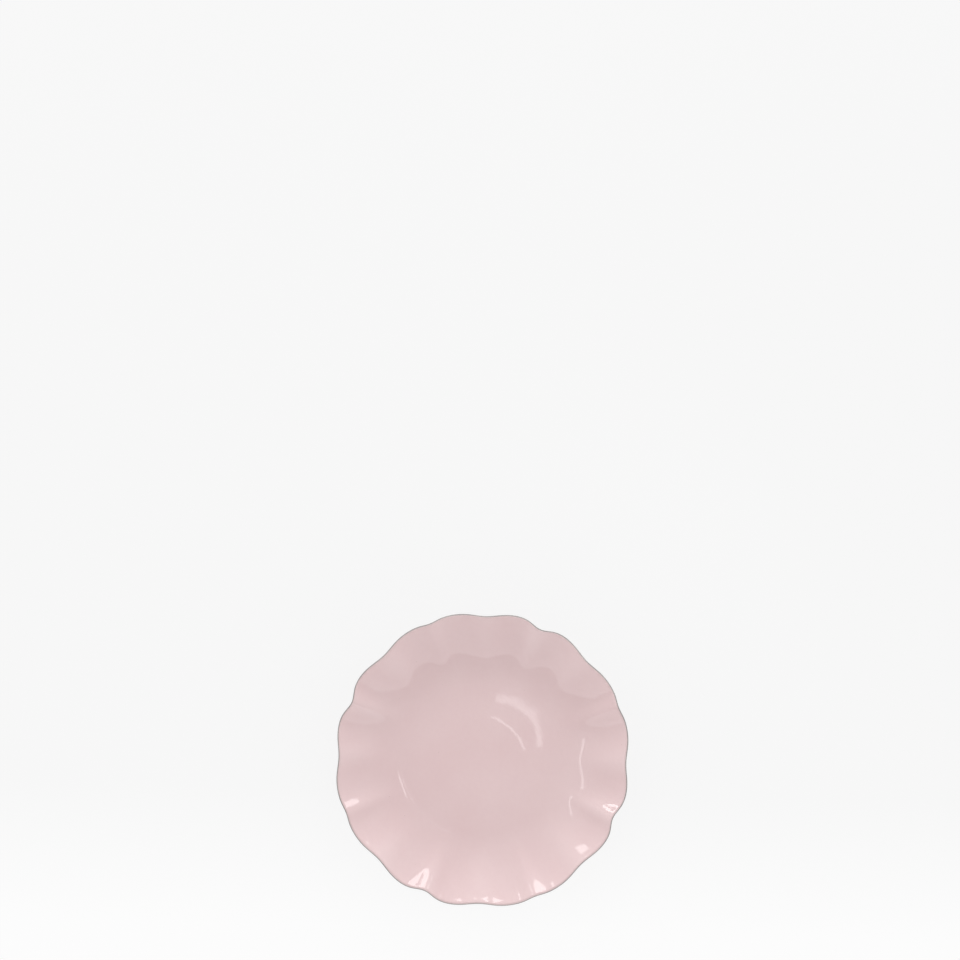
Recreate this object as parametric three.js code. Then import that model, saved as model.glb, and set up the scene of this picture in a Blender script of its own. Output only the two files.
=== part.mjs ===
// A scalloped bread plate in glazed stoneware, lying face up on its foot ring.
// Millimetres, +Z up. The origin is on the table, under the middle of the plate.

import * as THREE from 'three';

// Outline and height
const OUTLINE_RADIUS = 85; // the round outline that the creases and dips cut into
const PLATE_HEIGHT = 24.6; // table to the top of the lip where it is highest, on a crease

// Thickness
const WELL_THICKNESS = 4.6; // face to back under the well, with both coats of glaze
const LIP_THICKNESS = 2.2; // the wall thins down to this
const GLAZE_THICKNESS = 0.4; // one coat

// Well and wall
const WELL_RADIUS = 44; // the well ends here, and the wall starts to rise
const WELL_CROWN = 0.41; // rise of the well's middle over its edge
const CROWN_RADIUS = 20; // the middle of the well is level inside this
const CROWN_FALL = 11; // outside it the crown dies away over about twice this width
const LIP_SLOPE = 38; // degrees that the wall leans from level at the lip

// Foot ring
const FOOT_RADIUS = 46; // outside of the foot
const FOOT_WIDTH = 4;
const FOOT_HEIGHT = 2.6; // table to the glaze at the edge of the well
const FOOT_FLARE = 1; // how far each side of the foot spreads towards the body
const FOOT_ROUNDING = 0.6; // on both edges of the resting face

// Grey band round the lip
const BAND_ON_FACE = 0.65; // width that shows from above
const BAND_ON_BACK = 0.35; // width that shows from below

// Creases and dips, which cut into the outline and run down the wall as flutes.
// A depth is measured inwards from the outline, a rise upwards from the lobes beside it, and a
// spread along the rim.
const DEEP_CREASE = { depth: 3.1, rise: 1.7, spread: 5.3 };
const FINE_CREASE = { depth: 1.2, rise: 1.7, spread: 4.4 };
const SOFT_DIP = { depth: 2.6, rise: 1, spread: 8 };
const FLUTE_FADE = 34; // the flutes grow from nothing at the foot to full depth over this width
const QUARTERS = 4; // the pattern of creases repeats in each quarter of the rim

// Fineness of the facets
const ROUND_STEPS = 96; // six to each lobe, so that each crease lies on a line of corners
const WELL_STEPS = 3;
const WALL_STEPS = 5;
const BAND_STEPS = 3;
const ROLL_STEPS = 3; // along the lip from the band to the face

// The places of the creases and dips round the rim
const quarter = (2 * Math.PI) / QUARTERS;
const deepAngle = (quarter * 3) / 4;
const CREASES = [
  { ...DEEP_CREASE, first: deepAngle, pitch: quarter },
  { ...FINE_CREASE, first: quarter / 4, pitch: quarter },
  { ...SOFT_DIP, first: 0, pitch: quarter / 2 },
];

// How much of a crease there is at an angle round the plate, from 0 to 1.
function nearness(angle, { first, pitch, spread }) {
  const past = THREE.MathUtils.euclideanModulo(angle - first + pitch / 2, pitch) - pitch / 2;
  return Math.exp(-0.5 * ((past * OUTLINE_RADIUS) / spread) ** 2);
}

function outlineCut(angle) {
  return CREASES.reduce((cut, crease) => cut + crease.depth * nearness(angle, crease), 0);
}

function creaseRise(angle) {
  return CREASES.reduce((rise, crease) => rise + crease.rise * nearness(angle, crease), 0);
}

// Sizes that follow from those above
const lobeHeight = PLATE_HEIGHT - creaseRise(deepAngle);
const lipRadius = LIP_THICKNESS / 2;
const lipSlope = THREE.MathUtils.degToRad(LIP_SLOPE);
const faceEnd = OUTLINE_RADIUS - lipRadius * (1 + Math.sin(lipSlope));
const faceEndHeight = lobeHeight - lipRadius * (1 - Math.cos(lipSlope));
const wellEdgeHeight = FOOT_HEIGHT + WELL_THICKNESS;
const wallRun = faceEnd - WELL_RADIUS;
const wallRise = faceEndHeight - wellEdgeHeight;
const wallPower = (wallRun * Math.tan(lipSlope)) / wallRise;
const bodyLipRadius = lipRadius - GLAZE_THICKNESS;
const footOutside = FOOT_RADIUS + FOOT_FLARE;
const footInside = FOOT_RADIUS - FOOT_WIDTH - FOOT_FLARE;

// The glazed face: a low crown over the well, then a wall that steepens up to the lip.
function crownFall(radius) {
  return Math.max(0, radius - CROWN_RADIUS) / CROWN_FALL;
}

function wallShare(radius) {
  return Math.max(0, radius - WELL_RADIUS) / wallRun;
}

function faceHeight(radius) {
  const crown = WELL_CROWN * Math.exp(-(crownFall(radius) ** 2));
  return wellEdgeHeight + crown + wallRise * wallShare(radius) ** wallPower;
}

function faceSlope(radius) {
  const fall = crownFall(radius);
  const falling = ((2 * WELL_CROWN) / CROWN_FALL) * fall * Math.exp(-(fall ** 2));
  const rising = Math.tan(lipSlope) * wallShare(radius) ** (wallPower - 1);
  return Math.atan(rising - falling);
}

// The point at a depth under the face, square to it.
function below(radius, depth) {
  const slope = faceSlope(radius);
  const across = radius + depth * Math.sin(slope);
  const up = faceHeight(radius) - depth * Math.cos(slope);
  return new THREE.Vector2(across, up);
}

// The point on the back under a place on the face, or inside the back by the thickness of a coat.
function onBack(radius, coat) {
  const thickness = THREE.MathUtils.lerp(WELL_THICKNESS, LIP_THICKNESS, wallShare(radius));
  return below(radius, thickness - coat);
}

// The place on the face whose point on the back has a given radius.
function placeOver(radius, coat) {
  let low = 0;
  let high = faceEnd;
  for (let halving = 0; halving < 40; halving += 1) {
    const middle = (low + high) / 2;
    if (onBack(middle, coat).x < radius) {
      low = middle;
    } else {
      high = middle;
    }
  }
  return low;
}

function spaced(start, end, steps) {
  return Array.from({ length: steps + 1 }, (_, step) => start + ((end - start) * step) / steps);
}

// Lines of the cross-section, each from the axis outwards. Two pieces that touch share one line.
function faceLine(depth) {
  const crown = spaced(CROWN_RADIUS, WELL_RADIUS, WELL_STEPS).slice(0, -1);
  const wall = spaced(WELL_RADIUS, faceEnd, WALL_STEPS);
  return [0, ...crown, ...wall].map((radius) => below(radius, depth));
}

function backLine(coat) {
  return spaced(placeOver(footOutside, coat), faceEnd, WALL_STEPS).map((radius) => onBack(radius, coat));
}

function recessLine(coat) {
  return [onBack(0, coat), onBack(placeOver(footInside, coat), coat)];
}

// The rounded lip, by angle about its centre: 0 is outwards, and positive is up.
const lipCentre = below(faceEnd, lipRadius);
const lipAtFace = lipSlope + Math.PI / 2;
const bandAtBack = -Math.acos(1 - BAND_ON_BACK / lipRadius);
const bandAtFace = Math.acos(1 - BAND_ON_FACE / lipRadius);

function lipArc(radius, start, end, steps) {
  return spaced(start, end, steps).map(
    (angle) => new THREE.Vector2(Math.cos(angle), Math.sin(angle)).multiplyScalar(radius).add(lipCentre),
  );
}

function bandArc(radius) {
  return lipArc(radius, bandAtBack, bandAtFace, BAND_STEPS);
}

function rollArc(radius) {
  return lipArc(radius, bandAtFace, lipAtFace, ROLL_STEPS).slice(0, -1);
}

// The foot from its inner side to its outer side, with rounded edges on the resting face.
function footLine() {
  const inner = FOOT_RADIUS - FOOT_WIDTH;
  const cut = FOOT_ROUNDING * (1 - Math.SQRT1_2);
  return [
    new THREE.Vector2(inner, FOOT_ROUNDING),
    new THREE.Vector2(inner + cut, cut),
    new THREE.Vector2(inner + FOOT_ROUNDING, 0),
    new THREE.Vector2(FOOT_RADIUS - FOOT_ROUNDING, 0),
    new THREE.Vector2(FOOT_RADIUS - cut, cut),
    new THREE.Vector2(FOOT_RADIUS, FOOT_ROUNDING),
  ];
}

// Splits each four-sided facet along its shorter diagonal, so that pieces that touch split alike.
function splitShortWay(geometry) {
  const position = geometry.getAttribute('position');
  const index = geometry.getIndex();
  const place = (corner) => new THREE.Vector3().fromBufferAttribute(position, corner);
  for (let facet = 0; facet < index.count; facet += 6) {
    const [a, b, d, c] = [0, 1, 2, 3].map((corner) => index.getX(facet + corner));
    if (place(a).distanceTo(place(c)) < place(b).distanceTo(place(d))) {
      [a, b, c, a, c, d].forEach((corner, order) => index.setX(facet + order, corner));
    }
  }
}

// Turns a cross-section into a round piece, then draws the wall in and up along the flutes.
function turned(section) {
  const geometry = new THREE.LatheGeometry(section, ROUND_STEPS);
  geometry.rotateX(Math.PI / 2);
  const position = geometry.getAttribute('position');
  for (let corner = 0; corner < position.count; corner += 1) {
    const x = position.getX(corner);
    const y = position.getY(corner);
    const radius = Math.hypot(x, y);
    if (radius > footOutside) {
      const angle = Math.atan2(y, x);
      const share = THREE.MathUtils.smoothstep(radius, footOutside, footOutside + FLUTE_FADE);
      const drawn = 1 - (share * outlineCut(angle)) / radius;
      const rise = (share * creaseRise(angle) * radius) / OUTLINE_RADIUS;
      position.setXYZ(corner, x * drawn, y * drawn, position.getZ(corner) + rise);
    }
  }
  splitShortWay(geometry);
  geometry.computeVertexNormals();
  return geometry;
}

function closedRing(points) {
  return [...points, points[0].clone()];
}

// Pieces
function stonewareBody() {
  const section = [
    ...recessLine(GLAZE_THICKNESS),
    recessLine(0).at(-1),
    ...footLine(),
    backLine(0)[0],
    ...backLine(GLAZE_THICKNESS),
    ...bandArc(bodyLipRadius),
    ...rollArc(bodyLipRadius).slice(1),
    ...faceLine(GLAZE_THICKNESS).reverse(),
  ];
  const clay = new THREE.MeshStandardMaterial({ color: 0xd8cdbf, roughness: 0.85, metalness: 0 });
  return new THREE.Mesh(turned(section), clay);
}

function faceGlaze() {
  const section = [
    ...faceLine(GLAZE_THICKNESS),
    ...rollArc(bodyLipRadius).reverse(),
    ...rollArc(lipRadius),
    ...faceLine(0).reverse(),
  ];
  const gloss = new THREE.MeshStandardMaterial({ color: 0xe0c3c4, roughness: 0.12, metalness: 0 });
  return new THREE.Mesh(turned(section), gloss);
}

function rimEdgeBand() {
  const section = closedRing([...bandArc(lipRadius), ...bandArc(bodyLipRadius).reverse()]);
  const grey = new THREE.MeshStandardMaterial({ color: 0x8d8580, roughness: 0.45, metalness: 0 });
  return new THREE.Mesh(turned(section), grey);
}

function backGlaze() {
  const section = closedRing([
    ...backLine(0),
    bandArc(lipRadius)[0],
    bandArc(bodyLipRadius)[0],
    ...backLine(GLAZE_THICKNESS).reverse(),
  ]);
  const gloss = new THREE.MeshStandardMaterial({ color: 0xe0c3c4, roughness: 0.12, metalness: 0 });
  return new THREE.Mesh(turned(section), gloss);
}

function footRecessGlaze() {
  const section = [...recessLine(0), ...recessLine(GLAZE_THICKNESS).reverse()];
  const gloss = new THREE.MeshStandardMaterial({ color: 0xe0c3c4, roughness: 0.15, metalness: 0 });
  return new THREE.Mesh(turned(section), gloss);
}

const plate = new THREE.Group();
const pieces = {
  stoneware_body: stonewareBody(),
  face_glaze: faceGlaze(),
  rim_edge_band: rimEdgeBand(),
  back_glaze: backGlaze(),
  foot_recess_glaze: footRecessGlaze(),
};
for (const [name, mesh] of Object.entries(pieces)) {
  mesh.name = name;
  plate.add(mesh);
}

export default plate;
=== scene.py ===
# %% [markdown]
# # A scalloped bread plate
# The real plate is a pressed stoneware body with a pink gloss glaze, a grey line where the glaze
# breaks over the lip, and a bare ring of clay that it stands on. Everything here is in metres, in
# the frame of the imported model: +Z is up, and the origin lies under the middle of the foot. The
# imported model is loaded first, because each piece made below takes the place of one of its nodes.

import math
from collections import namedtuple

import bpy
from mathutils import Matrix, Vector


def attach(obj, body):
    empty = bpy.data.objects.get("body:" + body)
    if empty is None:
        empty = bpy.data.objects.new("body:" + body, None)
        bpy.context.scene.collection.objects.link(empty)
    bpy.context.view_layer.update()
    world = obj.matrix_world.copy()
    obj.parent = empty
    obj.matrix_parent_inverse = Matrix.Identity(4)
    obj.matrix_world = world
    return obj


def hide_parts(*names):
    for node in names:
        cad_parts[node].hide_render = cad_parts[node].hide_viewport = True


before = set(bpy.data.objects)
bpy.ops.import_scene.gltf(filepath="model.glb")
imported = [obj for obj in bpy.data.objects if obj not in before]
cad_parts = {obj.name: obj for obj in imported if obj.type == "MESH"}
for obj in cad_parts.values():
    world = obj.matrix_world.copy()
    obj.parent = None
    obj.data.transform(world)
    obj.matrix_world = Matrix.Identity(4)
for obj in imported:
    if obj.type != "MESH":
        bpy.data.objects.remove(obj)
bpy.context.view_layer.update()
print("nodes", sorted(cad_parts))

# %% [markdown]
# ## Sizes
# The sizes are those of the solid model, so that each coat of glaze lies where its solid lies. They
# could be measured on the loaded nodes, but those are faceted, and a facet lies a little inside the
# true curve. Writing the few driving sizes again gives the smooth plate.

# %% Sizes of the plate
MM = 0.001

PLATE_HEIGHT = 24.6 * MM
OUTLINE_RADIUS = 85 * MM
WELL_THICKNESS = 4.6 * MM
LIP_THICKNESS = 2.2 * MM
GLAZE_THICKNESS = 0.4 * MM
WELL_RADIUS = 44 * MM
WELL_CROWN = 0.41 * MM
CROWN_RADIUS = 20 * MM
CROWN_FALL = 11 * MM
LIP_SLOPE = math.radians(38)

FOOT_RADIUS = 46 * MM
FOOT_WIDTH = 4 * MM
FOOT_HEIGHT = 2.6 * MM
FOOT_FLARE = 1 * MM
FOOT_ROUNDING = 0.6 * MM

BAND_ON_FACE = 0.65 * MM
BAND_ON_BACK = 0.35 * MM
print("outline", round(2 * OUTLINE_RADIUS / MM), "mm across, glaze", GLAZE_THICKNESS / MM, "mm thick")

# %% [markdown]
# ## Creases and dips
# The rim has sixteen lobes. Four deep creases, four fine ones and eight soft dips part them, and at
# each of these the rim is pressed inwards and a little upwards. They could be drawn as a curve with
# many handles. A bell curve for each kind needs only a depth, a rise and a spread, and it repeats
# exactly in each quarter.

# %% The creases between the lobes
Crease = namedtuple("Crease", "first pitch depth rise spread")

QUARTER = math.radians(90)
FINE_CREASE = Crease(QUARTER / 4, QUARTER, depth=1.2 * MM, rise=1.7 * MM, spread=4.4 * MM)
DEEP_CREASE = Crease(QUARTER * 3 / 4, QUARTER, depth=3.1 * MM, rise=1.7 * MM, spread=5.3 * MM)
SOFT_DIP = Crease(0.0, QUARTER / 2, depth=2.6 * MM, rise=1.0 * MM, spread=8.0 * MM)
CREASES = (FINE_CREASE, DEEP_CREASE, SOFT_DIP)


def nearness(angle, crease):
    past = (angle - crease.first + crease.pitch / 2) % crease.pitch - crease.pitch / 2
    return math.exp(-0.5 * (past * OUTLINE_RADIUS / crease.spread) ** 2)


def outline_cut(angle):
    return sum(crease.depth * nearness(angle, crease) for crease in CREASES)


def crease_rise(angle):
    return sum(crease.rise * nearness(angle, crease) for crease in CREASES)


deepest_cut = outline_cut(DEEP_CREASE.first)
lobe_height = PLATE_HEIGHT - crease_rise(DEEP_CREASE.first)
print("lobes end", round(lobe_height / MM, 2), "mm up, creases", round(PLATE_HEIGHT / MM, 2), "mm")

# %% [markdown]
# ## The cross-section
# Cut through its middle, a plate is a thin curved slice: a nearly level well with a low crown, a wall
# that steepens to a round lip, and a back that follows the face at the thickness of the clay. It
# could be traced point by point. As formulas it gives as many points as a smooth glaze needs.

# %% Sizes that follow from the others
lip_radius = LIP_THICKNESS / 2
face_end = OUTLINE_RADIUS - lip_radius * (1 + math.sin(LIP_SLOPE))
face_end_height = lobe_height - lip_radius * (1 - math.cos(LIP_SLOPE))
well_edge_height = FOOT_HEIGHT + WELL_THICKNESS
wall_run = face_end - WELL_RADIUS
wall_rise = face_end_height - well_edge_height
wall_power = wall_run * math.tan(LIP_SLOPE) / wall_rise
foot_outside = FOOT_RADIUS + FOOT_FLARE
foot_inside = FOOT_RADIUS - FOOT_WIDTH - FOOT_FLARE
print("wall power", round(wall_power, 3), "face ends at", round(face_end / MM, 2), "mm")

# %% The face


def face_height(radius):
    fallen = max(0.0, radius - CROWN_RADIUS) / CROWN_FALL
    height = well_edge_height + WELL_CROWN * math.exp(-fallen ** 2)
    if radius > WELL_RADIUS:
        height += wall_rise * ((radius - WELL_RADIUS) / wall_run) ** wall_power
    return height


def face_slope(radius):
    fallen = max(0.0, radius - CROWN_RADIUS) / CROWN_FALL
    steepness = -2 * WELL_CROWN / CROWN_FALL * fallen * math.exp(-fallen ** 2)
    if radius > WELL_RADIUS:
        steepness += math.tan(LIP_SLOPE) * ((radius - WELL_RADIUS) / wall_run) ** (wall_power - 1)
    return math.atan(steepness)


def below(radius, depth):
    slope = face_slope(radius)
    return radius + depth * math.sin(slope), face_height(radius) - depth * math.cos(slope)


print("middle of the well", round(face_height(0) / MM, 2), "mm up")

# %% The back and the lip
HALVINGS = 40


def on_back(radius):
    outwards = max(0.0, (radius - WELL_RADIUS) / wall_run)
    thickness = WELL_THICKNESS + (LIP_THICKNESS - WELL_THICKNESS) * outwards
    return below(radius, thickness)


def place_over(radius):
    low, high = 0.0, face_end
    for _ in range(HALVINGS):
        middle = (low + high) / 2
        if on_back(middle)[0] < radius:
            low = middle
        else:
            high = middle
    return low


lip_centre = below(face_end, lip_radius)


def lip_point(angle):
    return lip_centre[0] + lip_radius * math.cos(angle), lip_centre[1] + lip_radius * math.sin(angle)


print("lip is round about", [round(value / MM, 2) for value in lip_centre])

# %% [markdown]
# ## The camera
# The plate is seen square on to its face, low in a square frame. Here the plate lies on its foot, so
# that is a camera that looks straight down. It could be shifted in its lens to put the plate low in
# the frame. It is moved instead, because a shift would stay behind in every other view.

# %% Camera
CAMERA_DISTANCE = 1.80
FRAME_WIDTH = 0.549
SENSOR_WIDTH = 36.0
PLATE_PIXEL = (482.4, 760.3)
FRAME_PIXELS = 960
PLATE_TURN = math.radians(1.4)

pixel = FRAME_WIDTH / FRAME_PIXELS
aim_right = (FRAME_PIXELS / 2 - PLATE_PIXEL[0]) * pixel
aim_up = (PLATE_PIXEL[1] - FRAME_PIXELS / 2) * pixel
camera_data = bpy.data.cameras.new("square_on_camera")
camera_data.sensor_width = SENSOR_WIDTH
camera_data.lens = SENSOR_WIDTH * CAMERA_DISTANCE / FRAME_WIDTH
camera = bpy.data.objects.new("square_on_camera", camera_data)
camera.location = (
    aim_right * math.cos(PLATE_TURN) - aim_up * math.sin(PLATE_TURN),
    aim_right * math.sin(PLATE_TURN) + aim_up * math.cos(PLATE_TURN),
    PLATE_HEIGHT + CAMERA_DISTANCE,
)
camera.rotation_euler = (0, 0, PLATE_TURN)
bpy.context.scene.collection.objects.link(camera)
bpy.context.scene.camera = camera
print("lens", round(camera_data.lens, 1), "mm")

# %% [markdown]
# ## The rim's outline
# A ring of vertices starts as a circle, and each crease is pressed in by scaling and lifting the
# vertices that lie on it. Sculpting the lobes by eye would do for one view. Pressing a ring first
# makes the outline exact before any surface is drawn from it, and the four vertices that sit alike
# in the four quarters are pressed together.

# %% Helpers for working in edit mode


def select_only(piece):
    bpy.ops.object.select_all(action="DESELECT")
    piece.select_set(True)
    bpy.context.view_layer.objects.active = piece


def start_edit(piece):
    select_only(piece)
    bpy.ops.object.mode_set(mode="EDIT")
    bpy.ops.mesh.select_mode(type="VERT")
    bpy.ops.mesh.select_all(action="DESELECT")
    bpy.ops.object.mode_set(mode="OBJECT")


def select_vertices(piece, indices):
    start_edit(piece)
    for index in indices:
        piece.data.vertices[index].select = True
    bpy.ops.object.mode_set(mode="EDIT")


# %% Press the creases into a ring
ROUND_STEPS = 384

bpy.ops.object.select_all(action="DESELECT")
bpy.ops.mesh.primitive_circle_add(vertices=ROUND_STEPS, radius=OUTLINE_RADIUS)
skin = bpy.context.object
skin.name = "plate_skin"
quarter_steps = ROUND_STEPS // 4
angles = [math.atan2(v.co.y, v.co.x) for v in skin.data.vertices]
for step in range(quarter_steps):
    select_vertices(skin, range(step, ROUND_STEPS, quarter_steps))
    drawn = 1 - outline_cut(angles[step]) / OUTLINE_RADIUS
    bpy.ops.transform.resize(value=(drawn, drawn, 1), center_override=(0, 0, 0))
    bpy.ops.transform.translate(value=(0, 0, crease_rise(angles[step])))
    bpy.ops.object.mode_set(mode="OBJECT")
mean_cut = sum(outline_cut(angle) for angle in angles) / ROUND_STEPS
print("outline ring", len(skin.data.vertices), "vertices, mean cut", round(mean_cut / MM, 3), "mm")

# %% [markdown]
# ## The skin of the plate
# From the outline the whole skin is drawn ring by ring: over the lip, down the wall and across the
# well, and then from the outline again round the back and under the foot. Spin would turn a plain
# round plate and lose the creases. Extruding the pressed ring keeps them: Push/Pull moves each new
# ring in by the same distance all round, which keeps the flutes as deep as they are at the rim, and
# To Sphere rounds it a little, which lets the flutes die away before the well.

# %% How a ring follows the ring before it
FLUTE_FADE = 34 * MM


def flute_share(radius):
    t = min(1.0, max(0.0, (radius - foot_outside) / FLUTE_FADE))
    return t * t * (3 - 2 * t)


def draw_rings(points):
    radius, height = points[0]
    share = flute_share(radius)
    for next_radius, next_height in points[1:]:
        next_share = flute_share(next_radius)
        drop = next_height - height
        bpy.ops.mesh.extrude_edges_move(TRANSFORM_OT_translate={"value": (0, 0, drop)})
        inwards = radius - next_radius - (share - next_share) * mean_cut
        centre = (0, 0, next_height)
        bpy.ops.transform.push_pull(value=inwards, center_override=centre)
        if next_share < share:
            kept = next_share / share
            bpy.ops.transform.tosphere(value=1 - kept, center_override=centre)
            bpy.ops.transform.resize(value=(1, 1, kept), center_override=centre)
        radius, height, share = next_radius, next_height, next_share


full_flutes = foot_outside + FLUTE_FADE
print("flutes are at full depth from", round(full_flutes / MM, 1), "mm out")

# %% The path over the lip and across the face
LIP_STEPS = 24
FACE_STEPS = 66
INNERMOST = 1.5 * MM


def spaced(start, end, steps):
    return [start + (end - start) * step / steps for step in range(steps + 1)]


lip_at_face = LIP_SLOPE + math.pi / 2
band_at_face = math.acos(1 - BAND_ON_FACE / lip_radius)
band_steps = round(LIP_STEPS * band_at_face / lip_at_face)
over_lip = spaced(0, band_at_face, band_steps)
over_lip += spaced(band_at_face, lip_at_face, LIP_STEPS - band_steps)[1:]
down_wall = spaced(face_end, INNERMOST, FACE_STEPS)[1:]
face_path = [lip_point(angle) for angle in over_lip] + [below(radius, 0) for radius in down_wall]
print("face path", len(face_path), "points, of which", band_steps + 1, "on the grey band")

# %% The path under the lip and down the back
BACK_LIP_STEPS = 12
BACK_STEPS = 34

lip_at_back = LIP_SLOPE - math.pi / 2
band_at_back = -math.acos(1 - BAND_ON_BACK / lip_radius)
back_band_steps = round(BACK_LIP_STEPS * band_at_back / lip_at_back)
under_lip = spaced(0, band_at_back, back_band_steps)
under_lip += spaced(band_at_back, lip_at_back, BACK_LIP_STEPS - back_band_steps)[1:]
down_back = spaced(face_end, place_over(foot_outside), BACK_STEPS)[1:]
back_path = [lip_point(angle) for angle in under_lip] + [on_back(radius) for radius in down_back]
first_foot_ring = len(back_path) - 1
print("back path", len(back_path), "points down to the foot")

# %% The path round the foot and across the recess
ROUNDING_STEPS = 4
RECESS_STEPS = 12

foot_low_outside = FOOT_RADIUS - FOOT_ROUNDING
foot_low_inside = FOOT_RADIUS - FOOT_WIDTH + FOOT_ROUNDING
for turn in spaced(0, math.pi / 2, ROUNDING_STEPS):
    across = foot_low_outside + FOOT_ROUNDING * math.cos(turn)
    back_path.append((across, FOOT_ROUNDING * (1 - math.sin(turn))))
back_path.append((FOOT_RADIUS - FOOT_WIDTH / 2, 0.0))
for turn in spaced(0, math.pi / 2, ROUNDING_STEPS):
    across = foot_low_inside - FOOT_ROUNDING * math.sin(turn)
    back_path.append((across, FOOT_ROUNDING * (1 - math.cos(turn))))
last_foot_ring = len(back_path)
back_path += [on_back(radius) for radius in spaced(place_over(foot_inside), INNERMOST, RECESS_STEPS)]
print("foot takes", last_foot_ring - first_foot_ring, "rings, whole back path", len(back_path), "points")

# %% Draw the face
start_edit(skin)
bpy.ops.object.mode_set(mode="EDIT")
bpy.ops.mesh.select_all(action="SELECT")
bpy.ops.transform.translate(value=(0, 0, lip_centre[1]))
draw_rings(face_path)
bpy.ops.mesh.merge(type="CENTER")
bpy.ops.object.mode_set(mode="OBJECT")
print("face side", len(skin.data.vertices), "vertices")

# %% Draw the back and the foot
select_vertices(skin, range(ROUND_STEPS))
draw_rings(back_path)
bpy.ops.mesh.merge(type="CENTER")
bpy.ops.mesh.select_all(action="SELECT")
bpy.ops.mesh.normals_make_consistent(inside=False)
bpy.ops.object.mode_set(mode="OBJECT")
print("whole skin", len(skin.data.vertices), "vertices")

# %% [markdown]
# ## What the finishes need to know
# A glaze looks different near the lip and on a ridge, because it runs thin there while it melts. A
# finish could guess such places from its position. Two numbers stored on each vertex say it exactly:
# how far it lies from the outline along the surface, and how far it stands up on a crease.

# %% Which ring each vertex belongs to
face_count = ROUND_STEPS * (len(face_path) - 1) + 1


def ring_of(index):
    if index < face_count:
        return "face", index // ROUND_STEPS
    return "back", (index - face_count) // ROUND_STEPS + 1


rings = [ring_of(index) for index in range(len(skin.data.vertices))]
print("last ring", rings[-1])

# %% Store the reach from the lip and the height on a crease


def reaches(path):
    total, found = 0.0, [0.0]
    for (radius, height), (next_radius, next_height) in zip(path, path[1:]):
        total += math.hypot(next_radius - radius, next_height - height)
        found.append(total)
    return found


face_reach = reaches(face_path)
back_reach = reaches(back_path)
lip_reach = skin.data.attributes.new("lip_reach", "FLOAT", "POINT")
crest = skin.data.attributes.new("crest", "FLOAT", "POINT")
for vertex, (side, ring) in zip(skin.data.vertices, rings):
    path, lengths = (face_path, face_reach) if side == "face" else (back_path, back_reach)
    cut = outline_cut(math.atan2(vertex.co.y, vertex.co.x))
    lip_reach.data[vertex.index].value = lengths[ring]
    crest.data[vertex.index].value = flute_share(path[ring][0]) * cut / deepest_cut
print("face runs", round(face_reach[-1] / MM, 1), "mm from lip to middle")

# %% [markdown]
# ## The clay body
# The body is the same shape as the skin, but smaller by one coat of glaze wherever there is glaze, and
# only its foot reaches the surface. It could be drawn from a second path. A copy of the skin that is
# shrunk along its normals, apart from the rings of the foot, is sure to fit under the coats.

# %% Clay body


def duplicate_of(piece, name):
    select_only(piece)
    bpy.ops.object.duplicate()
    made = bpy.context.object
    made.name = name
    return made


def is_bare(ring_place):
    side, ring = ring_place
    return side == "back" and first_foot_ring < ring < last_foot_ring


clay_body = duplicate_of(skin, "clay_body")
select_vertices(clay_body, [index for index, place in enumerate(rings) if not is_bare(place)])
bpy.ops.transform.shrink_fatten(value=-GLAZE_THICKNESS, use_even_offset=True)
bpy.ops.object.mode_set(mode="OBJECT")
print("clay body", len(clay_body.data.vertices), "vertices")

# %% [markdown]
# ## The coats
# On the real plate the glazes and the grey band are layers that melt onto the clay. Painting them on
# the body would be enough for a picture. As pieces of their own they can be looked at, weighed and
# replaced: each is parted from the skin by its rings, and Solidify then gives it the thickness of one
# coat, inwards, so that it is a closed shell that lies on the clay.

# %% Which rings each coat takes
coat_rings = {
    "pink_face": [("face", band_steps, len(face_path))],
    "grey_lip_band": [("face", 0, band_steps), ("back", 0, back_band_steps)],
    "pink_back": [("back", back_band_steps, first_foot_ring)],
    "pink_recess": [("back", last_foot_ring, len(back_path))],
}


def belongs(polygon, wanted):
    places = [rings[index] for index in polygon.vertices]
    side = "back" if any(side == "back" for side, ring in places) else "face"
    low = min(ring for _, ring in places)
    high = max(ring for _, ring in places)
    return any(side == s and first <= low and high <= last for s, first, last in wanted)


print("rings of each coat", coat_rings)

# %% Part the skin into coats


def coat_from_skin(name):
    piece = duplicate_of(skin, name)
    start_edit(piece)
    bpy.ops.object.mode_set(mode="EDIT")
    bpy.ops.mesh.select_mode(type="FACE")
    bpy.ops.object.mode_set(mode="OBJECT")
    for polygon in piece.data.polygons:
        polygon.select = not belongs(polygon, coat_rings[name])
    bpy.ops.object.mode_set(mode="EDIT")
    bpy.ops.mesh.delete(type="FACE")
    bpy.ops.object.mode_set(mode="OBJECT")
    coat = piece.modifiers.new("coat", "SOLIDIFY")
    coat.thickness = GLAZE_THICKNESS
    coat.offset = -1
    coat.use_even_offset = True
    bpy.ops.object.modifier_apply(modifier="coat")
    return piece


coats = [coat_from_skin(name) for name in coat_rings]
bpy.data.objects.remove(skin)
print("coats", [coat.name for coat in coats])

# %% Smooth the curves and keep the edges
SHARPEST_CURVE = math.radians(40)

for piece in [clay_body, *coats]:
    select_only(piece)
    bpy.ops.object.shade_smooth_by_angle(angle=SHARPEST_CURVE)
    print(piece.name, len(piece.data.polygons), "faces")

# %% [markdown]
# ## Finishes
# A fired surface is never one flat colour: it clouds where the kiln or the brush left it uneven. The
# clouding could be built again in each finish. It is a node group instead, because the glaze, the grey
# edge and the bare clay all use it, each with its own scales.

# %% Helpers for nodes


def node(tree, kind, **settings):
    made = tree.nodes.new(kind)
    for name, value in settings.items():
        setattr(made, name, value)
    return made


def new_finish(name):
    material = bpy.data.materials.new(name)
    material.use_nodes = True
    tree = material.node_tree
    return material, tree, tree.nodes["Principled BSDF"]


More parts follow.
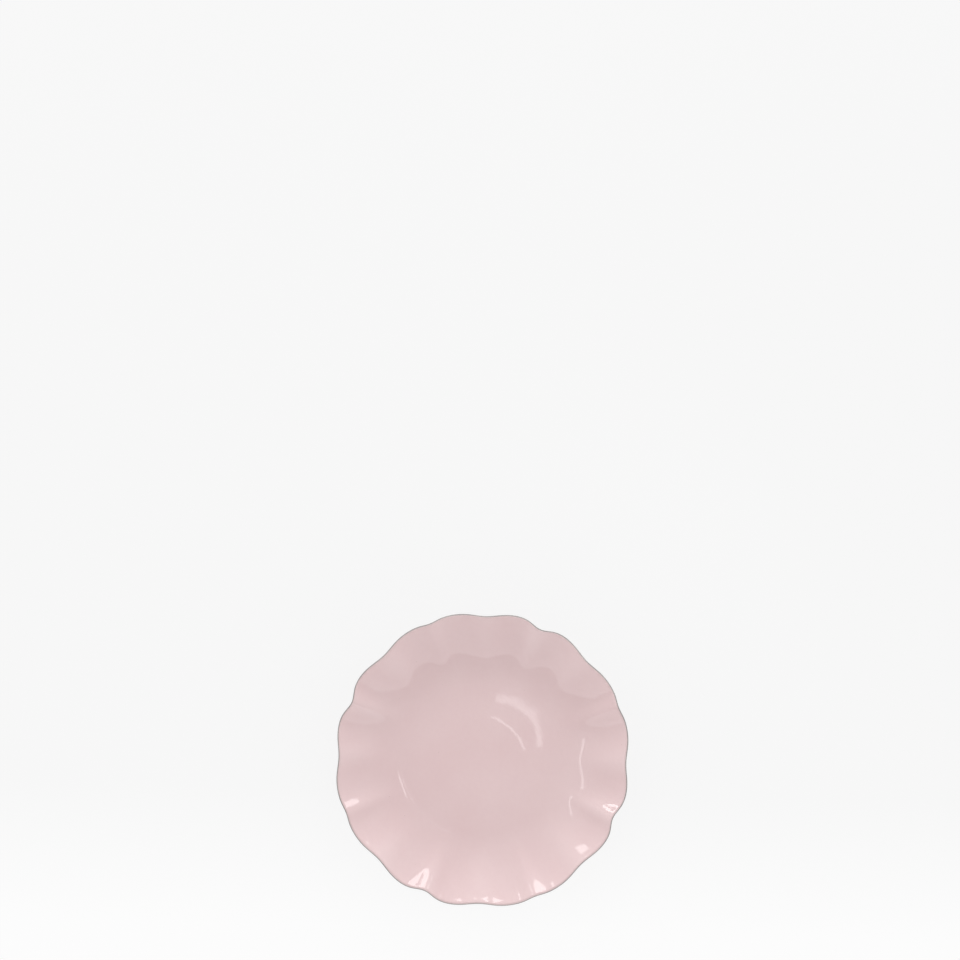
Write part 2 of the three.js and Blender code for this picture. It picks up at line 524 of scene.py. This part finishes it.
def ramp(tree, value, low, high, low_out=0.0, high_out=1.0, shape="LINEAR"):
    made = node(tree, "ShaderNodeMapRange", interpolation_type=shape)
    tree.links.new(value, made.inputs["Value"])
    made.inputs["From Min"].default_value = low
    made.inputs["From Max"].default_value = high
    made.inputs["To Min"].default_value = low_out
    made.inputs["To Max"].default_value = high_out
    return made.outputs["Result"]


def combined(tree, operation, first, second):
    made = node(tree, "ShaderNodeMath", operation=operation)
    tree.links.new(first, made.inputs[0])
    tree.links.new(second, made.inputs[1])
    return made.outputs["Value"]


# %% More helpers for nodes


def blend_colours(tree, factor, first, second):
    made = node(tree, "ShaderNodeMix", data_type="RGBA")
    tree.links.new(factor, made.inputs["Factor"])
    for value, socket in ((first, made.inputs["A"]), (second, made.inputs["B"])):
        if isinstance(value, tuple):
            socket.default_value = (*value, 1.0)
        else:
            tree.links.new(value, socket)
    return made.outputs["Result"]


def attribute(tree, name):
    return node(tree, "ShaderNodeAttribute", attribute_name=name).outputs["Fac"]


def bump(tree, shader, height, strength, distance):
    made = node(tree, "ShaderNodeBump")
    made.inputs["Strength"].default_value = strength
    made.inputs["Distance"].default_value = distance
    tree.links.new(height, made.inputs["Height"])
    tree.links.new(made.outputs["Normal"], shader.inputs["Normal"])


# %% The clouding group
BROAD_DETAIL, FINE_DETAIL = 3.0, 5.0


def kiln_cloud_group():
    tree = bpy.data.node_groups.new("kiln_cloud", "ShaderNodeTree")
    for name in ("Broad Scale", "Fine Scale", "Fine Share"):
        tree.interface.new_socket(name=name, in_out="INPUT", socket_type="NodeSocketFloat")
    tree.interface.new_socket(name="Cloud", in_out="OUTPUT", socket_type="NodeSocketFloat")
    inputs = node(tree, "NodeGroupInput")
    outputs = node(tree, "NodeGroupOutput")
    place = node(tree, "ShaderNodeTexCoord")
    mix = node(tree, "ShaderNodeMix", data_type="FLOAT")
    for scale, detail, socket in (("Broad Scale", BROAD_DETAIL, "A"), ("Fine Scale", FINE_DETAIL, "B")):
        noise = node(tree, "ShaderNodeTexNoise")
        noise.inputs["Detail"].default_value = detail
        tree.links.new(place.outputs["Object"], noise.inputs["Vector"])
        tree.links.new(inputs.outputs[scale], noise.inputs["Scale"])
        tree.links.new(noise.outputs["Fac"], mix.inputs[socket])
    tree.links.new(inputs.outputs["Fine Share"], mix.inputs["Factor"])
    tree.links.new(mix.outputs["Result"], outputs.inputs["Cloud"])
    return tree


kiln_cloud = kiln_cloud_group()


def cloud(tree, broad, fine, fine_share):
    made = node(tree, "ShaderNodeGroup", node_tree=kiln_cloud)
    made.inputs["Broad Scale"].default_value = broad
    made.inputs["Fine Scale"].default_value = fine
    made.inputs["Fine Share"].default_value = fine_share
    return made.outputs["Cloud"]


print(kiln_cloud.name, len(kiln_cloud.nodes), "nodes")

# %% [markdown]
# ## Pink gloss glaze
# The glaze is a dusty pink glass. It clouds a little, pales on the ridges where it ran thin, greys
# towards the lip, holds a few pinholes where bubbles burst, and ripples slowly as a dipped coat does.
# A photograph of glaze wrapped round the plate would show seams and its own lights. Noise on Object
# coordinates and the stored numbers have neither, and they hold at any distance.

# %% Pinholes
PINHOLE_SCALE = 140.0
PINHOLE_CORE = 0.012
PINHOLE_EDGE = 0.030


def pinholes(tree):
    place = node(tree, "ShaderNodeTexCoord")
    bubbles = node(tree, "ShaderNodeTexVoronoi")
    bubbles.inputs["Scale"].default_value = PINHOLE_SCALE
    tree.links.new(place.outputs["Object"], bubbles.inputs["Vector"])
    return ramp(tree, bubbles.outputs["Distance"], PINHOLE_CORE, PINHOLE_EDGE, 1.0, 0.0)


print("pinholes up to", round(2 * PINHOLE_EDGE / PINHOLE_SCALE / MM, 2), "mm across")

# %% The colours of the glaze
NOISE_LOW, NOISE_HIGH = 0.35, 0.65
PINK_THICK = (0.690, 0.515, 0.518)
PINK_THIN = (0.750, 0.600, 0.600)
PINHOLE_BROWN = (0.33, 0.22, 0.20)
EDGE_BLEED = (0.40, 0.335, 0.328)
BLEED_START, BLEED_END = 0.7 * MM, 2.4 * MM
BLEED_DEPTH = 0.45
CLOUD_PALENESS = 0.35
CREST_PALENESS = 0.3
CREST_FROM = 0.35
PINHOLE_DEPTH = 0.7


def glaze_colour(tree, clouds, pits):
    cloudy = ramp(tree, clouds, NOISE_LOW, NOISE_HIGH, 0.0, CLOUD_PALENESS)
    thin = ramp(tree, attribute(tree, "crest"), CREST_FROM, 1.0, 0.0, CREST_PALENESS)
    pink = blend_colours(tree, combined(tree, "ADD", cloudy, thin), PINK_THICK, PINK_THIN)
    bleed = ramp(tree, attribute(tree, "lip_reach"), BLEED_START, BLEED_END, BLEED_DEPTH, 0.0)
    pink = blend_colours(tree, bleed, pink, EDGE_BLEED)
    return blend_colours(tree, ramp(tree, pits, 0.0, 1.0, 0.0, PINHOLE_DEPTH), pink, PINHOLE_BROWN)


print("the edge greys the glaze up to", round(BLEED_END / MM, 1), "mm from the outline")

# %% The whole glaze
GLAZE_IOR = 1.5
GLOSS_BEST, GLOSS_WORST = 0.02, 0.045
PINHOLE_DULLNESS = 0.4
RIPPLE_STRENGTH = 0.12
RIPPLE_HEIGHT = 0.4 * MM


def pink_glaze():
    material, tree, shader = new_finish("pink_gloss_glaze")
    clouds = cloud(tree, broad=28.0, fine=420.0, fine_share=0.25)
    pits = pinholes(tree)
    tree.links.new(glaze_colour(tree, clouds, pits), shader.inputs["Base Color"])
    gloss = ramp(tree, clouds, NOISE_LOW, NOISE_HIGH, GLOSS_BEST, GLOSS_WORST)
    dull = ramp(tree, pits, 0.0, 1.0, 0.0, PINHOLE_DULLNESS)
    tree.links.new(combined(tree, "ADD", gloss, dull), shader.inputs["Roughness"])
    shader.inputs["IOR"].default_value = GLAZE_IOR
    waves = cloud(tree, broad=45.0, fine=190.0, fine_share=0.3)
    holes = ramp(tree, pits, 0.0, 1.0, 0.0, -1.0)
    bump(tree, shader, combined(tree, "ADD", waves, holes), RIPPLE_STRENGTH, RIPPLE_HEIGHT)
    return material


pink = pink_glaze()
print(pink.name, len(pink.node_tree.nodes), "nodes")

# %% [markdown]
# ## Grey edge
# Where a glaze breaks over a sharp lip it turns thin and grey, and use wears it into paler flecks. A
# plain grey would read as a painted line. Fine clouding makes the flecks, sets them duller than the
# grey, and the colour fades towards the pink at the edge of the band.

# %% Grey edge
EDGE_GREY = (0.215, 0.195, 0.188)
EDGE_WORN = (0.41, 0.37, 0.355)
WORN_FROM, WORN_FULL = 0.40, 0.68
EDGE_ROUGHNESS, WORN_ROUGHNESS = 0.28, 0.55
FADE_START, FADE_END = 0.8 * MM, 1.3 * MM
FADE_DEPTH = 0.6
FLECK_STRENGTH = 0.3
FLECK_HEIGHT = 0.08 * MM


def grey_edge():
    material, tree, shader = new_finish("grey_edge_glaze")
    flecks = cloud(tree, broad=90.0, fine=900.0, fine_share=0.45)
    worn = ramp(tree, flecks, WORN_FROM, WORN_FULL)
    grey = blend_colours(tree, worn, EDGE_GREY, EDGE_WORN)
    fading = ramp(tree, attribute(tree, "lip_reach"), FADE_START, FADE_END, 0.0, FADE_DEPTH)
    tree.links.new(blend_colours(tree, fading, grey, EDGE_BLEED), shader.inputs["Base Color"])
    dull = ramp(tree, worn, 0.0, 1.0, EDGE_ROUGHNESS, WORN_ROUGHNESS)
    tree.links.new(dull, shader.inputs["Roughness"])
    bump(tree, shader, flecks, FLECK_STRENGTH, FLECK_HEIGHT)
    return material


grey = grey_edge()
print(grey.name, len(grey.node_tree.nodes), "nodes")

# %% [markdown]
# ## Bare clay
# The foot is wiped clean of glaze before firing, or the plate would stick to the kiln shelf. What is
# left is dry, sandy clay, with a toasted line on each side where the glaze stops. The line could be a
# ring of its own. The stored reach already says where the foot starts and ends, so a ramp draws it.

# %% Bare clay
CLAY_DARK = (0.56, 0.48, 0.39)
CLAY_PALE = (0.74, 0.67, 0.58)
CLAY_TOASTED = (0.47, 0.29, 0.17)
TOAST_WIDTH = 1.1 * MM
TOAST_DEPTH = 0.75
GRIT_ROUGHNESS, CLAY_ROUGHNESS = 0.92, 0.78
GRIT_STRENGTH = 0.5
GRIT_HEIGHT = 0.2 * MM

foot_from = back_reach[first_foot_ring]
foot_to = back_reach[last_foot_ring]


def bare_clay():
    material, tree, shader = new_finish("bare_stoneware")
    grain = cloud(tree, broad=120.0, fine=2600.0, fine_share=0.6)
    clay = blend_colours(tree, ramp(tree, grain, NOISE_LOW, NOISE_HIGH), CLAY_DARK, CLAY_PALE)
    reach = attribute(tree, "lip_reach")
    outer_toast = ramp(tree, reach, foot_from, foot_from + TOAST_WIDTH, TOAST_DEPTH, 0.0)
    inner_toast = ramp(tree, reach, foot_to - TOAST_WIDTH, foot_to, 0.0, TOAST_DEPTH)
    clay = blend_colours(tree, combined(tree, "ADD", outer_toast, inner_toast), clay, CLAY_TOASTED)
    tree.links.new(clay, shader.inputs["Base Color"])
    dull = ramp(tree, grain, NOISE_LOW, NOISE_HIGH, GRIT_ROUGHNESS, CLAY_ROUGHNESS)
    tree.links.new(dull, shader.inputs["Roughness"])
    bump(tree, shader, grain, GRIT_STRENGTH, GRIT_HEIGHT)
    return material


clay = bare_clay()
print(clay.name, len(clay.node_tree.nodes), "nodes")

# %% [markdown]
# ## Dressing the pieces
# Each piece gets its finish, rides on the plate's only body and stands for one node of the packed
# model. One loop does it for all of them, so that no piece is left without a finish or a node.

# %% Dress the pieces
dressing = {
    "clay_body": (clay, "stoneware", "stoneware_body"),
    "pink_face": (pink, "pink_glaze", "face_glaze"),
    "grey_lip_band": (grey, "grey_edge_glaze", "rim_edge_band"),
    "pink_back": (pink, "pink_glaze", "back_glaze"),
    "pink_recess": (pink, "pink_glaze", "foot_recess_glaze"),
}
for name, (finish, slot, cad_node) in dressing.items():
    piece = bpy.data.objects[name]
    piece.data.materials.clear()
    piece.data.materials.append(finish)
    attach(piece, "root")
    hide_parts(cad_node)
    print(name, "stands for", cad_node)

# %% [markdown]
# ## The floor
# A studio sweep is white paper, lit until it is nearly white itself. More light on it would also
# bleach the plate. So the paper glows for the camera and for reflections only. The glow gives way under
# the plate, where the paper keeps the plate's shadow, and levels out far off to the shade of the room,
# so that no horizon is seen. It lies a hair under the foot, because two faces in one plane flicker.

# %% Floor
FLOOR_SIZE = 6.0
FLOOR_GAP = 0.1 * MM

bpy.ops.object.select_all(action="DESELECT")
bpy.ops.mesh.primitive_plane_add(size=FLOOR_SIZE, location=(0, 0, -FLOOR_GAP))
floor = bpy.context.object
floor.name = "pale_floor"
print(floor.name, FLOOR_SIZE, "m wide")

# %% Finish of the floor
FLOOR_WHITE = 0.80
FLOOR_ROUGHNESS = 0.9
GLOW_SHARE = 0.92
GLOW_SHARE_UNDER_PLATE = 0.3
PLATE_COVERS = 78 * MM
ALL_GLOW_FROM, ALL_GLOW_AT = 0.40, 0.60
# Painted light: the floor glows brighter on its near side, below the plate, as a table top lit from above
# would.
GLOW_AROUND, PAINTED_LIGHT_GLOW, GLOW_FAR = 0.940, 0.985, 0.930
PAINTED_LIGHT_FROM, PAINTED_LIGHT_TO = -0.10, -0.02
FAR_FROM, FAR_TO = 0.55, 1.40


def glow_strength(tree, place, reach):
    split = node(tree, "ShaderNodeSeparateXYZ")
    tree.links.new(place, split.inputs["Vector"])
    # Painted light: a brighter glow on the near side of the floor, below the plate.
    near = ramp(tree, split.outputs["Y"], PAINTED_LIGHT_FROM, PAINTED_LIGHT_TO, PAINTED_LIGHT_GLOW, GLOW_AROUND)
    far = ramp(tree, reach, FAR_FROM, FAR_TO, PAINTED_LIGHT_GLOW, GLOW_FAR, "SMOOTHSTEP")
    return combined(tree, "MINIMUM", near, far)


def glow_share(tree, reach):
    beside_plate = ramp(tree, reach, foot_outside, PLATE_COVERS, GLOW_SHARE_UNDER_PLATE, GLOW_SHARE)
    far_off = ramp(tree, reach, ALL_GLOW_FROM, ALL_GLOW_AT, 1.0, 1 / GLOW_SHARE, "SMOOTHSTEP")
    share = combined(tree, "MULTIPLY", beside_plate, far_off)
    light = node(tree, "ShaderNodeLightPath")
    looked_at = combined(tree, "MAXIMUM", light.outputs["Is Camera Ray"], light.outputs["Is Glossy Ray"])
    return combined(tree, "MULTIPLY", looked_at, share)


def pale_sweep():
    material, tree, shader = new_finish("pale_sweep")
    shader.inputs["Base Color"].default_value = (FLOOR_WHITE, FLOOR_WHITE, FLOOR_WHITE, 1)
    shader.inputs["Roughness"].default_value = FLOOR_ROUGHNESS
    shader.inputs["Specular IOR Level"].default_value = 0.0
    place = node(tree, "ShaderNodeTexCoord").outputs["Object"]
    from_middle = node(tree, "ShaderNodeVectorMath", operation="LENGTH")
    tree.links.new(place, from_middle.inputs[0])
    reach = from_middle.outputs["Value"]
    glow = node(tree, "ShaderNodeEmission")
    mix = node(tree, "ShaderNodeMixShader")
    tree.links.new(glow_strength(tree, place, reach), glow.inputs["Strength"])
    tree.links.new(glow_share(tree, reach), mix.inputs["Fac"])
    tree.links.new(shader.outputs["BSDF"], mix.inputs[1])
    tree.links.new(glow.outputs["Emission"], mix.inputs[2])
    tree.links.new(mix.outputs["Shader"], tree.nodes["Material Output"].inputs["Surface"])
    return material


floor.data.materials.append(pale_sweep())
print("floor glows at", GLOW_AROUND, "to", PAINTED_LIGHT_GLOW)

# %% [markdown]
# ## Lamps
# A glossy plate shows each lamp as a highlight: on the flutes of its near wall, along the foot of the
# wall, and as a pair of curved lines on the crown of the well. One large lamp would light it as well
# and leave one large glare. Several small ones, each turned to the plate, put each highlight in its
# place. A lamp is given by its radiance, so that its size can change without changing its glare.

# %% A soft lamp


def soft_lamp(name, place, aim, width, height, radiance, turn=0.0):
    data = bpy.data.lights.new(name, "AREA")
    data.shape = "RECTANGLE"
    data.size = width
    data.size_y = height
    data.energy = radiance * math.pi * width * height
    lamp = bpy.data.objects.new(name, data)
    lamp.location = place
    towards = Vector(aim) - Vector(place)
    lamp.rotation_euler = towards.to_track_quat("-Z", "Y").to_euler()
    lamp.rotation_euler.rotate_axis("Z", turn)
    lamp.visible_camera = False
    bpy.context.scene.collection.objects.link(lamp)
    print(name, round(data.energy, 3), "W")


# %% Lamps for the flutes of the near wall
PLATE_MIDDLE = (0, 0, 0.01)
LEFT_FLUTE = (-0.074, -0.027, 0.021)

soft_lamp("overhead_lamp", (0.028, 0.72, 0.288), PLATE_MIDDLE, width=0.33, height=0.116, radiance=4.6)
soft_lamp("right_flute_lamp", (-0.455, 0.505, 0.222), PLATE_MIDDLE, width=0.10, height=0.042, radiance=6.0)
soft_lamp("left_flute_lamp", (0.136, 0.160, 0.112), LEFT_FLUTE, width=0.040, height=0.034, radiance=4.2)
soft_lamp("left_fill", (-0.352, 0.540, 0.328), PLATE_MIDDLE, width=0.06, height=0.050, radiance=4.0)
soft_lamp("low_bounce", (0, -0.60, 0.365), (0, 0, 0.365), width=2.0, height=0.73, radiance=1.0)

# %% Lamps for the lines on the wall and the well
soft_lamp("left_strip", (-0.46, 0.0, 0.80), PLATE_MIDDLE, width=0.33, height=0.05, radiance=2.6)
soft_lamp("right_strip", (0.192, -0.045, 1.3), PLATE_MIDDLE, width=0.06, height=0.04, radiance=3.9)
soft_lamp(
    "crown_strip", (0.069, -0.049, 1.3), PLATE_MIDDLE, width=0.017, height=0.115, radiance=2.6, turn=-0.10
)

# %% [markdown]
# ## The room
# The room lights the plate from all round: brightest from the far side, dim from straight above,
# where the camera and whoever holds it stand. A plain grey world would leave the walls of the plate
# flat. Two ramps on the direction give them their slow shading. The camera itself sees an even pale
# backdrop in place of the room.

# %% Room
ROOM_ABOVE = 0.41
ROOM_SIDES = 0.70
ROOM_NEAR = -0.39
ROOM_FAR = 0.98
ROOM_BACKDROP = 0.93
SIDES_UP_TO, ABOVE_FROM = 0.35, 0.9


def soft_room():
    world = bpy.data.worlds.new("soft_room")
    world.use_nodes = True
    tree = world.node_tree
    split = node(tree, "ShaderNodeSeparateXYZ")
    tree.links.new(node(tree, "ShaderNodeTexCoord").outputs["Generated"], split.inputs["Vector"])
    around = ramp(tree, split.outputs["Z"], SIDES_UP_TO, ABOVE_FROM, ROOM_SIDES, ROOM_ABOVE)
    along = ramp(tree, split.outputs["Y"], -1.0, 1.0, ROOM_NEAR, ROOM_FAR)
    backdrop = node(tree, "ShaderNodeMix", data_type="FLOAT")
    backdrop.inputs["B"].default_value = ROOM_BACKDROP
    light = node(tree, "ShaderNodeLightPath")
    tree.links.new(light.outputs["Is Camera Ray"], backdrop.inputs["Factor"])
    tree.links.new(combined(tree, "ADD", around, along), backdrop.inputs["A"])
    tree.links.new(backdrop.outputs["Result"], tree.nodes["Background"].inputs["Color"])
    return world


bpy.context.scene.world = soft_room()
bpy.context.scene.view_settings.view_transform = "Standard"
print("room level", ROOM_SIDES, "at the sides,", ROOM_ABOVE, "above")
